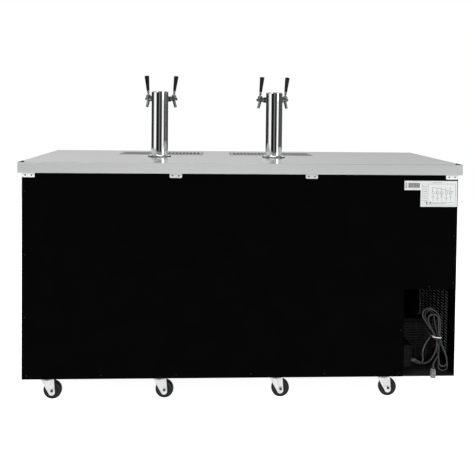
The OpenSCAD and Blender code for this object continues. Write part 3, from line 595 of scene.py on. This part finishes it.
def add_lever(n, turn, reach, pivot_z):
    """A lever's ball, shaft, ferrule and tapered handle."""
    tilt = math.radians((10, 10, -8, 12)[n - 1])
    at = turn @ Matrix.Translation((reach, 0, pivot_z)) @ Matrix.Rotation(tilt, 4, "Y")
    bm = bmesh.new()
    arc = [math.radians(d) for d in range(-90, 66, 12)]
    ball = [(max(0, 0.0074 * math.cos(a)), 0.0074 * math.sin(a)) for a in arc]
    ball[0] = (0, -0.0074)
    add_lathe(bm, [*ball, (0.0033, 0.0078), (0.0033, 0.0092), (0.0062, 0.0098), (0.0066, 0.0106),
                   (0.0066, 0.0128), (0.006, 0.0137), (0.0038, 0.0142), (0.0038, 0.0152), (0.0052, 0.0166),
                   (0.0061, 0.0188), (0.0061, 0.0232), (0.0056, 0.0236)], at, 0, 36)
    add_lathe(bm, [(0.0054, 0.0234), (0.0066, 0.0236), (0.0068, 0.0245), (0.0077, 0.04), (0.0091, 0.064),
                   (0.0105, 0.085), (0.0109, 0.0915), (0.0108, 0.0928), (0.0099, 0.0937), (0.0075, 0.094),
                   (0.0068, 0.0936), (0, 0.0936)], at, 1, 48)
    piece(f"tap_lever_{n}_look", bm, ["polished_chrome", "handle_plastic"],
          replaces=[f"tap_lever_{n}"], sharp=40, body=f"lever_{n}")


def add_trays():
    """The drip trays and their slotted grates, with eased edges."""
    # The trays take the dark steel copy: painted shade.
    refine("drip_trays", 0.0003, "tray_steel_shaded")
    for t in (1, 2):
        refine(f"drip_grate_{t}", 0.0002)


# ---------------------------------------------------------------- cabinet

def add_cabinet():
    """Panels, brackets, stickers and screws of the cabinet."""
    refine("rear_panel", 0.0007)
    refine("box_side_skins", 0.0004)
    refine("side_panel_vented", 0.0003)
    add_vent_hoods()
    refine("base_pan", 0.0006)
    refine("foam_insulation", 0.0008)
    refine("inner_liner", 0.0003)
    refine("front_frame", 0.0008)
    add_clips()
    add_stickers()
    add_panel_screws()


def add_vent_hoods():
    """A pressed hood outside each vent slot of the bay's end panel."""
    bm = bmesh.new()
    low, high_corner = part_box("side_panel_vented")
    outer = low.x
    first = Vector((outer, high_corner.y - 0.084, low.z + 0.065))
    long, high, deep, skirt, thick = 0.035, 0.006, 0.004, 0.0042, 0.0008
    for column in range(8):
        for row in range(21):
            y1 = first.y - 0.049 * column + 0.001
            y0 = y1 - long - 0.002
            z = first.z + 0.013 * row
            plate = [(0, z + high + thick), (-deep, z - skirt + thick), (-deep + thick, z - skirt),
                     (0, z + high)]
            cheek = [(-0.0001, z + high - 0.0003), (-deep + thick + 0.0002, z - skirt + 0.0001),
                     (-0.0001, z - skirt + 0.0001)]
            for section, ends in ((plate, (y0, y1)), (cheek, (y0, y0 + thick)), (cheek, (y1 - thick, y1))):
                add_loft(bm, [[(outer + dx, y, dz) for dx, dz in section] for y in ends])
    piece("vent_hoods", bm, ["vent_steel"])


def add_clips():
    """Four pressed clips under the worktop's back edge, each with two screws."""
    low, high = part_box("top_brackets")
    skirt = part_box("countertop")[0].z
    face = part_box("rear_panel")[1].y
    half, round_r, thick = 0.0255, 0.0042, 0.0022
    for n, x in enumerate((high.x - half, 0.2784, -0.2854, low.x + half), 1):
        bm = bmesh.new()
        outline = [(-half, 0.026), (-half, round_r)]
        for side, start in ((-1, 180), (1, 270)):
            for k in range(7):
                a = math.radians(start + 15 * k)
                outline.append((side * (half - round_r) + round_r * math.cos(a),
                                round_r + round_r * math.sin(a)))
        outline += [(half, round_r), (half, 0.026)]
        outline = list(dict.fromkeys((round(u, 6), round(v, 6)) for u, v in outline))
        add_loft(bm, [[(x + u, y, low.z + v) for u, v in outline] for y in (face + 0.0002, face + thick)])
        for side in (-1, 1):
            rib = x + side * (half - 0.0035)
            add_box(bm, (rib - 0.001, face + thick - 0.0002, low.z + 0.006),
                    (rib + 0.001, face + thick + 0.0006, skirt + 0.004))
            spot = Vector((x + side * 0.0128, face + thick, low.z + 0.0086))
            add_lathe(bm, [(0.0052, 0), (0.0052, 0.0005), (0.0046, 0.0009), (0, 0.0009)],
                      facing(spot, (0, 1, 0)), 0, 28)
            add_screw(bm, spot + Vector((0, 0.0007, 0)), (0, 1, 0), 0.0036, 2, 1)
        # The two middle clips take the darker copy: painted shade.
        finish = "clip_zinc" if n in (1, 4) else "clip_zinc_shaded"
        piece(f"worktop_clip_{n}", bm, [finish, "dark_steel", "dull_screw"], 0.0005,
              ["top_brackets"] if n == 1 else ())


def add_line(bm, a, b, y, wide, index):
    """A printed line in the XZ plane: a film that stands proud of the paper by a hair."""
    a, b = Vector((a[0], 0, a[1])), Vector((b[0], 0, b[1]))
    along = (b - a).normalized()
    across = Vector((-along.z, 0, along.x)) * wide / 2
    corners = (a - across, b - across, b + across, a + across)
    add_loft(bm, [[(p.x, depth, p.z) for p in corners] for depth in (y, y - 0.0002)], index)


def add_stickers():
    """Two plain stickers: a boxed wiring sketch, and a small one with a bar and ruled rows."""
    panel_low, panel_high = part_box("rear_panel")
    bm = bmesh.new()
    y0, y1 = panel_high.y + 0.0001, panel_high.y + 0.0005
    ink = y1 + 0.00012
    left, top = panel_low.x, panel_high.z
    big_low, big_high = Vector((left + 0.003, 0, top - 0.176)), Vector((left + 0.159, 0, top - 0.067))
    small_low, small_high = Vector((left + 0.159, 0, top - 0.106)), Vector((left + 0.228, 0, top - 0.067))
    for a, b in ((big_low, big_high), (small_low, small_high)):
        add_box(bm, (a.x, y0, a.z), (b.x, y1, b.z), 0)
    w, h = big_high.x - big_low.x, big_high.z - big_low.z

    def at(u, v):
        """A point on the big sticker, from its top corner on the side away from the bay's end."""
        return big_high.x - u * w, big_high.z - v * h

    def lines(pairs, wide):
        for a, b in pairs:
            add_line(bm, at(*a), at(*b), ink, wide, 1)

    frame_corners = [(0.04, 0.12), (0.95, 0.12), (0.95, 0.93), (0.04, 0.93)]
    lines(zip(frame_corners, frame_corners[1:] + frame_corners[:1]), 0.0009)
    lines([((0.32, 0.07), (0.6, 0.07)), ((0.04, 0.2), (0.2, 0.2)), ((0.2, 0.12), (0.2, 0.93))], 0.0011)
    for k in range(9):
        v = 0.27 + 0.07 * k
        lines([((0.07, v), (0.17, v))], 0.0013)
    for k in range(5):
        u = 0.32 + 0.12 * k
        lines([((u, 0.25), (u, 0.42 + 0.08 * (k % 3)))], 0.0011)
        lines([((u, 0.25 + 0.04 * k), (u + 0.1, 0.25 + 0.04 * k))], 0.0011)
        lines([((u - 0.03, 0.62 + 0.05 * (k % 2)), (u + 0.06, 0.62 + 0.05 * (k % 2)))], 0.0011)
        lines([((u + 0.02, 0.5), (u + 0.02, 0.78))], 0.001)
        ring = [at(u + 0.035 * math.cos(a) + 0.02, 0.46 + 0.05 * math.sin(a)) for a in angles(16)]
        for a, b in zip(ring, ring[1:] + ring[:1]):
            add_line(bm, a, b, ink, 0.001, 1)
    lines([((0.25, 0.84), (0.9, 0.84)), ((0.25, 0.88), (0.7, 0.88))], 0.0011)
    lines([((0.165, 0.8), (0.165, 0.9)), ((0.26, 0.8), (0.26, 0.9))], 0.0042)
    width = small_high.x - small_low.x
    for k in range(2):
        x = small_high.x - width * (0.09 + 0.05 * k)
        add_line(bm, (x, top - 0.098), (x, top - 0.074), ink, 0.0026 - 0.0014 * k, 1)
    for k in range(22):
        x = small_high.x - width * (0.24 + 0.033 * k)
        foot = top - 0.099 + 0.002 * (k % 3)
        add_line(bm, (x, foot), (x, top - 0.076), ink, 0.001 + 0.0006 * (k * 7 % 3), 1)
    piece("stickers", bm, ["paper", "ink"])


def add_panel_screws():
    """Black screws that hold the back panel, in a row near its edges."""
    low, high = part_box("rear_panel")
    bay_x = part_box("box_side_skins")[0].x
    bm = bmesh.new()
    spots = [(high.x - reach, low.z + 0.017) for reach in (0.02, 0.325, 0.635, 0.945, 1.255, 1.57)]
    spots += [(high.x - 0.013, low.z + up) for up in (0.259, 0.519, 0.779)]
    spots += [(low.x + 0.013, low.z + up) for up in (0.399, 0.599)]
    spots += [(bay_x + 0.012, low.z + 0.199), (low.x + 0.115, low.z + 0.383)]
    for x, z in spots:
        add_screw(bm, Vector((x, high.y - 0.0001, z)), (0, 1, 0), 0.0036, 0, 1)
    piece("panel_screws", bm, ["box_plastic", "dark_steel"])


# ---------------------------------------------------------------- casters

def add_casters():
    """Eight casters: bolted plates, forks with their crowns and wheels with a cushioned tread."""
    refine("caster_plates", 0.0006)
    for k in range(1, 9):
        swivel = Vector(JOINTS[f"caster_{k}_swivel"]["pos_m"])
        axle = Vector(JOINTS[f"wheel_{k}_roll"]["pos_m"])
        refine(f"caster_fork_{k}", 0.0007)
        bm = bmesh.new()
        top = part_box(f"caster_fork_{k}")[1].z
        crown = Matrix.Translation((swivel.x, swivel.y, top))
        add_lathe(bm, [(0.0262, -0.0055), (0.0296, -0.0058), (0.0302, -0.0042), (0.0298, -0.0018),
                       (0.0285, -0.0004), (0.0262, 0.0001)], crown, 0, 48)
        for side in (-1, 1):
            face = axle + Vector((0, side * 0.0178, 0))
            out = facing(face, (0, side, 0))
            washer = [(0.0042, 0), (0.0086, 0), (0.0086, 0.0008), (0.008, 0.0012), (0.0042, 0.0013)]
            nut = [(0, 0.001), (0.0062, 0.001), (0.0062, 0.0042), (0.0056, 0.0048), (0, 0.0048)]
            stud = [(0, 0.0046), (0.0036, 0.0046), (0.0036, 0.0058), (0.003, 0.0062), (0, 0.0062)]
            add_lathe(bm, washer, out, 0, 32)
            add_lathe(bm, nut, out, 1, 6)
            add_lathe(bm, stud, out, 1, 20)
        piece(f"caster_crown_{k}", bm, ["zinc_plate", "dark_steel"], sharp=40,
              body=f"fork_{k}")
        add_wheel(k, axle)


def add_wheel(k, axle):
    """A wheel: rounded tread, grey bead around its side, ribbed web and hub."""
    bm = bmesh.new()
    turn = facing(axle, (0, 1, 0))
    r, h = 0.0381, 0.0125
    add_lathe(bm, [(0.0292, -0.0098), (0.0305, -h), (0.0333, -h), (0.0362, -0.0108), (0.0377, -0.0075),
                   (r, -0.003), (r, 0.003), (0.0377, 0.0075), (0.0362, 0.0108), (0.0333, h), (0.0305, h),
                   (0.0292, 0.0098)], turn, 0, 96)
    web = [(0.0040, 0.0124), (0.0112, 0.0124), (0.0124, 0.0112), (0.013, 0.0078), (0.0142, 0.0072),
           (0.0252, 0.0072), (0.0266, 0.0085), (0.0277, 0.0102), (0.0289, 0.0104), (0.0294, 0.009)]
    add_lathe(bm, [(radius, -height) for radius, height in web] + web[::-1], turn, 1, 96)
    for side in (-1, 1):
        for a in angles(10):
            spin = turn @ Matrix.Rotation(a, 4, "Z")
            low = (0.0125, -0.0011, side * 0.0088 if side < 0 else 0.006)
            high = (0.0262, 0.0011, -0.006 if side < 0 else 0.0088)
            add_box(bm, low, high, 1, spin)
    piece(f"caster_wheel_{k}_look", bm, ["wheel_rubber", "wheel_core"],
          replaces=[f"caster_wheel_{k}"], sharp=40, body=f"wheel_{k}")


# ---------------------------------------------------------------- machine bay

def add_bay():
    """The condensing unit and its wiring, behind the open corner of the back."""
    for name, width in (("condenser", 0.00025), ("compressor", 0.001), ("condenser_fan", 0.0004),
                        ("refrigerant_lines", 0.0), ("evaporator", 0.0003),
                        ("evaporator_fan", 0.0003)):
        refine(name, width)
    low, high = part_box("condenser")
    bm = bmesh.new()
    back = high.y
    for k in range(15):
        z = low.z + 0.027 + 0.0109 * k
        ends = [(low.x + 0.004, back - 0.003), (low.x + 0.006, back + 0.0014),
                (high.x - 0.006, back + 0.0014), (high.x - 0.004, back - 0.003)]
        add_tube(bm, [Vector((x, y, z)) for x, y in ends], 0.0011, 0, 8)
    for x in (low.x + 0.035, (low.x + high.x) / 2, high.x - 0.035):
        rod = [Vector((x, back + 0.0034, low.z + up)) for up in (0.019, 0.097, 0.187)]
        add_tube(bm, rod, 0.0013, 0, 8)
    pitch = 0.196 / 8
    for side_x, way, first in ((low.x, -1, 0), (high.x, 1, 1)):
        for row in (0.25, 0.75):
            y = back - 0.044 + 0.044 * row
            for k in range(first, 7, 2):
                z0 = low.z + 0.009 + pitch * (k + 0.5)
                bend = [Vector((side_x - way * 0.004 + way * 0.011 * math.sin(a), y,
                                z0 + pitch / 2 - pitch / 2 * math.cos(a)))
                        for a in (math.pi * s / 10 for s in range(11))]
                add_tube(bm, bend, 0.0042, 1, 12)
    fan = Vector(JOINTS["coil_fan_spin"]["pos_m"])
    for ring in range(5):
        reach = 0.018 + 0.0125 * ring
        circle = [fan + Vector((reach * math.cos(a), -0.026, reach * math.sin(a))) for a in angles(48)]
        add_tube(bm, circle, 0.0011, 0, 6, closed=True)
    for s in range(4):
        a = math.radians(45 + 90 * s)
        spoke = [fan + Vector((reach * math.cos(a), -0.0245 + 0.03 * max(0, reach - 0.062) / 0.012,
                               reach * math.sin(a))) for reach in (0.016, 0.04, 0.062, 0.074)]
        add_tube(bm, spoke, 0.0014, 0, 6)
    piece("condenser_details", bm, ["dark_steel", "copper"], sharp=50)
    add_wiring()
    add_compressor_details()


def add_wiring():
    """The electrical box with its lid, the lead's gland, and the grey sleeve of the fan's wires."""
    bm = bmesh.new()
    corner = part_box("electrical_box")[1]
    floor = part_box("base_pan")[1].z
    x0, x1 = corner.x - 0.034, corner.x
    y0, y1 = corner.y - 0.094, corner.y
    z0, z1 = floor + 0.037, floor + 0.129
    add_box(bm, (x0 + 0.004, y0 + 0.001, z0 + 0.001), (x1, y1 - 0.001, z1 - 0.001), 0)
    add_box(bm, (x0, y0, z0), (x0 + 0.0032, y1, z1), 0)
    for y in (y0 + 0.007, y1 - 0.007):
        for z in (z0 + 0.007, z1 - 0.007):
            add_screw(bm, Vector((x0, y, z)), (-1, 0, 0), 0.0034, 1, 2)
    for k in range(5):
        z = z0 + 0.045 + 0.008 * k
        add_box(bm, (x0 - 0.0006, y0 + 0.02, z), (x0 + 0.001, y1 - 0.03, z + 0.003), 0)
    piece("electrical_box_look", bm, ["box_plastic", "zinc_plate", "dark_steel"],
          0.001, ["electrical_box"])
    gland = bmesh.new()
    profile = [(0.0042, 0.0), (0.0095, 0.0), (0.0098, 0.001), (0.0098, 0.0042), (0.009, 0.0052),
               (0.0078, 0.0054)]
    for k in range(6):
        height = 0.0062 + 0.0025 * k
        r = 0.0076 - 0.0004 * k
        profile += [(r, height), (r, height + 0.0013)]
        profile += [(r - 0.0012, height + 0.0016), (r - 0.0012, height + 0.0023)]
    profile += [(0.005, 0.0216), (0.0042, 0.022)]
    add_lathe(gland, profile, facing(Vector((x0, y1 - 0.02, z0 + 0.023)), (-1, 0, 0)), 0, 32)
    piece("lead_gland", gland, ["loom"])
    loom = bmesh.new()
    route = [(-722.5, 262, 160), (-734, 265, 150), (-752, 272, 138), (-778, 284, 136), (-787, 288, 152),
             (-784, 290, 176), (-786, 290, 196), (-793, 289, 213), (-803, 286, 229), (-817, 280, 245),
             (-828, 250, 250), (-828, 214.6, 250)]
    line = curve_points([mm(*p) for p in route], 8)
    add_tube(loom, line, lambda t: 0.0034 + 0.0003 * math.sin(260 * t), 0, 12)
    piece("fan_loom", loom, ["loom"], sharp=60)


def add_compressor_details():
    """Clamps, a terminal cover and the process stub of the compressor."""
    low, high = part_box("compressor")
    x, y = low.x + 0.082, (low.y + high.y) / 2
    bm = bmesh.new()
    stub = [Vector((x - 0.03, y + 0.02, high.z + up)) for up in (-0.012, 0.01, 0.03)]
    add_tube(bm, stub, lambda t: 0.003 if t < 0.8 else 0.0018, 0, 12)
    for side in (-1, 1):
        for way in (-1, 1):
            add_screw(bm, Vector((x + side * 0.07, y + way * 0.07, low.z + 0.0145)), (0, 0, 1), 0.007, 1, 2)
    add_box(bm, (x + 0.088, y - 0.02, low.z + 0.052), (x + 0.0935, y + 0.02, low.z + 0.092), 1)
    piece("compressor_details", bm, ["copper", "zinc_plate", "dark_steel"],
          0.0008)


# ---------------------------------------------------------------- front

def add_front():
    """Doors with their seals, locks and hinges, and the louvred cover of the bay."""
    refine("door_hinges", 0.0006)
    refine("front_grille", 0.0006)
    low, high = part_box("front_grille")
    bm = bmesh.new()
    for k in range(16):
        spot = Matrix.Translation((0, low.y + 0.0042, low.z + 0.071 + 0.022 * k))
        blade = spot @ Matrix.Rotation(math.radians(-38), 4, "X")
        add_box(bm, (low.x + 0.022, -0.0065, -0.0006), (high.x - 0.022, 0.0065, 0.0006), 0, blade)
    piece("grille_louvres", bm, ["black_skin"], 0.0004)
    for i in (1, 2, 3):
        refine(f"door_skin_{i}", 0.0012)
        refine(f"door_liner_{i}", 0.0008)
        add_gasket(i)
        add_lock(i)
        add_door_back(i)


def add_gasket(i):
    """The magnetic seal: a soft ribbed section run round the door's back."""
    low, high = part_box(f"door_gasket_{i}")
    bm = bmesh.new()
    half = [(0.008, 0.0), (0.0045, 0.0026), (0.0045, 0.0044), (0.0075, 0.0056), (0.0075, 0.0074)]
    section = [(0.0, 0.0), (0.016, 0.0), (0.016, 0.0018), *[(0.008 + u, v) for u, v in half[1:]],
               (0.0145, 0.0081), (0.0015, 0.0081), *[(0.008 - u, v) for u, v in half[:0:-1]], (0.0, 0.0018)]
    outlines = []
    for x, sx, z, sz in ((low.x, 1, low.z, 1), (high.x, -1, low.z, 1), (high.x, -1, high.z, -1),
                         (low.x, 1, high.z, -1)):
        outlines.append([(x + sx * inset, low.y + rise, z + sz * inset) for inset, rise in section])
    add_loft(bm, outlines, closed=True)
    piece(f"door_seal_{i}", bm, ["gasket_rubber"], 0.0002, [f"door_gasket_{i}"],
          body=f"door_{i}")


def add_lock(i):
    """The turning lock: barrel, rim and a dark bar for the keyway, painted shade of its slot."""
    low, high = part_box(f"door_lock_{i}")
    middle = Vector(((low.x + high.x) / 2, low.y, (low.z + high.z) / 2))
    turn = facing(middle, (0, 1, 0))
    bm = bmesh.new()
    add_lathe(bm, [(0, 0.0012), (0.0062, 0.0012), (0.0064, 0.0), (0.0095, 0.0), (0.0112, 0.0008),
                   (0.0119, 0.002), (0.0119, 0.0037), (0.0095, 0.0037), (0.0095, high.y - low.y),
                   (0, high.y - low.y)], turn, 0, 64)
    # A dark bar proud of the face: painted shade of the keyway.
    add_box(bm, (-0.0007, -0.0042, 0.0008), (0.0007, 0.0042, 0.00135), 1, turn)
    piece(f"door_lock_{i}_look", bm, ["lock_metal", "dark_steel"],
          replaces=[f"door_lock_{i}"], body=f"lock_{i}")


def add_door_back(i):
    """The raised moulded field inside a door's seal."""
    low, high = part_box(f"door_gasket_{i}")
    bm = bmesh.new()
    inset = 0.03
    add_box(bm, (low.x + inset, low.y - 0.0005, low.z + inset),
            (high.x - inset, low.y + 0.0045, high.z - inset))
    groove = 0.045
    add_box(bm, (low.x + inset + groove, low.y, low.z + inset + groove),
            (high.x - inset - groove, low.y + 0.006, high.z - inset - groove))
    piece(f"door_back_{i}", bm, ["door_plastic"], 0.0018, body=f"door_{i}")


# ---------------------------------------------------------------- studio

# Brightness of the surround near the horizon, by degrees turned from behind the camera towards +X
TOWER_BANDS = ((-180, 0.05), (-150, 0.05), (-118, 0.1), (-75, 0.08), (-62, 0.08), (-56, 1.1), (-36, 1.1),
               (-30, 0.01), (-11, 0.01), (-7, 0.18), (8, 0.18), (12, 0.01), (42, 0.01), (50, 1.1), (78, 1.1),
               (90, 0.06), (118, 0.03), (180, 0.05))
# The same a little higher, which the worktop mirrors
WORKTOP_BANDS = ((-180, 0.68), (-150, 0.64), (-100, 0.75), (-45, 0.4), (0, 0.35), (45, 0.4), (100, 0.85),
                 (150, 0.84), (180, 0.68))


def add_bands(tree, turned, bands):
    """A ramp round the horizon from (degrees, brightness) stops."""
    ramp = node(tree, "ShaderNodeValToRGB")
    elements = ramp.color_ramp.elements
    while len(elements) < len(bands):
        elements.new(1.0)
    for element, (degrees, value) in zip(elements, bands):
        element.position = degrees / 360 + 0.5
        element.color = rgba(value)
    tree.links.new(turned, ramp.inputs["Fac"])
    return ramp.outputs["Color"]


def blend_tones(tree, share, first, second):
    """A mix of a tone with another tone, or with an even grey."""
    mix = node(tree, "ShaderNodeMixRGB")
    tree.links.new(share, mix.inputs["Fac"])
    tree.links.new(first, mix.inputs["Color1"])
    if isinstance(second, float):
        mix.inputs["Color2"].default_value = rgba(second)
    else:
        tree.links.new(second, mix.inputs["Color2"])
    return mix.outputs["Color"]


def add_studio():
    """Pale floor, soft panels of light and a pale surround with dark bands for the chrome."""
    bpy.context.scene.view_settings.view_transform = "Standard"
    bpy.ops.mesh.primitive_plane_add(size=11, location=(0, 0, 0))
    floor = bpy.context.object
    floor.name = "studio_floor"
    floor.data.materials.append(surface("floor_paper", (0.9, 0.9, 0.9), 0.9, spread=0.01, bump=0.0,
                                        Emission_Color=(1, 1, 1, 1), Emission_Strength=0.85))
    world = bpy.data.worlds.new("surround")
    bpy.context.scene.world = world
    world.use_nodes = True
    tree = world.node_tree
    background = tree.nodes["Background"]
    where = node(tree, "ShaderNodeTexCoord").outputs["Generated"]
    split = node(tree, "ShaderNodeSeparateXYZ")
    tree.links.new(where, split.inputs[0])
    angle = node(tree, "ShaderNodeMath", operation="ARCTAN2")
    tree.links.new(split.outputs["X"], angle.inputs[0])
    tree.links.new(split.outputs["Y"], angle.inputs[1])
    turn = node(tree, "ShaderNodeMapRange")
    turn.inputs["From Min"].default_value = -math.pi
    turn.inputs["From Max"].default_value = math.pi
    tree.links.new(angle.outputs[0], turn.inputs["Value"])
    bands = add_bands(tree, turn.outputs[0], TOWER_BANDS)
    above = add_bands(tree, turn.outputs[0], WORKTOP_BANDS)
    height = node(tree, "ShaderNodeMapRange")
    height.inputs["From Min"].default_value = -1
    tree.links.new(split.outputs["Z"], height.inputs["Value"])
    rise = tone(tree, height.outputs[0], 0.0, 1.0, 0.52, 0.53)
    high = tone(tree, height.outputs[0], 0.0, 1.0, 0.6, 0.75)
    low = tone(tree, height.outputs[0], 1.0, 0.0, 0.41, 0.45)
    seen = node(tree, "ShaderNodeLightPath").outputs["Is Camera Ray"]
    mixed = blend_tones(tree, rise, bands, above)
    mixed = blend_tones(tree, high, mixed, 0.22)
    mixed = blend_tones(tree, low, mixed, 2.4)
    mixed = blend_tones(tree, seen, mixed, 1.0)
    tree.links.new(mixed, background.inputs["Color"])
    background.inputs["Strength"].default_value = 1.0
    lights = (("key", (2.6, 3.2, 3.2), 2.2, 60), ("fill", (-3.0, 2.6, 2.4), 2.4, 45),
              ("front", (0, -3.8, 4.4), 2.6, 58), ("top", (0, 0.6, 4.6), 3.0, 60))
    aim = Vector((0, 0, 0.7))
    for name, spot, width, power in lights:
        data = bpy.data.lights.new(name, "AREA")
        data.shape = "DISK"
        data.size = width
        data.energy = power
        lamp = add_object(name, data)
        lamp.location = spot
        lamp.rotation_euler = (aim - Vector(spot)).to_track_quat("-Z", "Y").to_euler()


add_camera()
lead, lead_line = add_cord()
plug = add_plug()
length = sum((b - a).length for a, b in zip(lead_line, lead_line[1:]))
print("mains lead", round(length, 4))
add_tie()
add_worktop()
add_towers()
add_taps()
add_trays()
add_cabinet()
add_casters()
add_bay()
add_front()
add_studio()
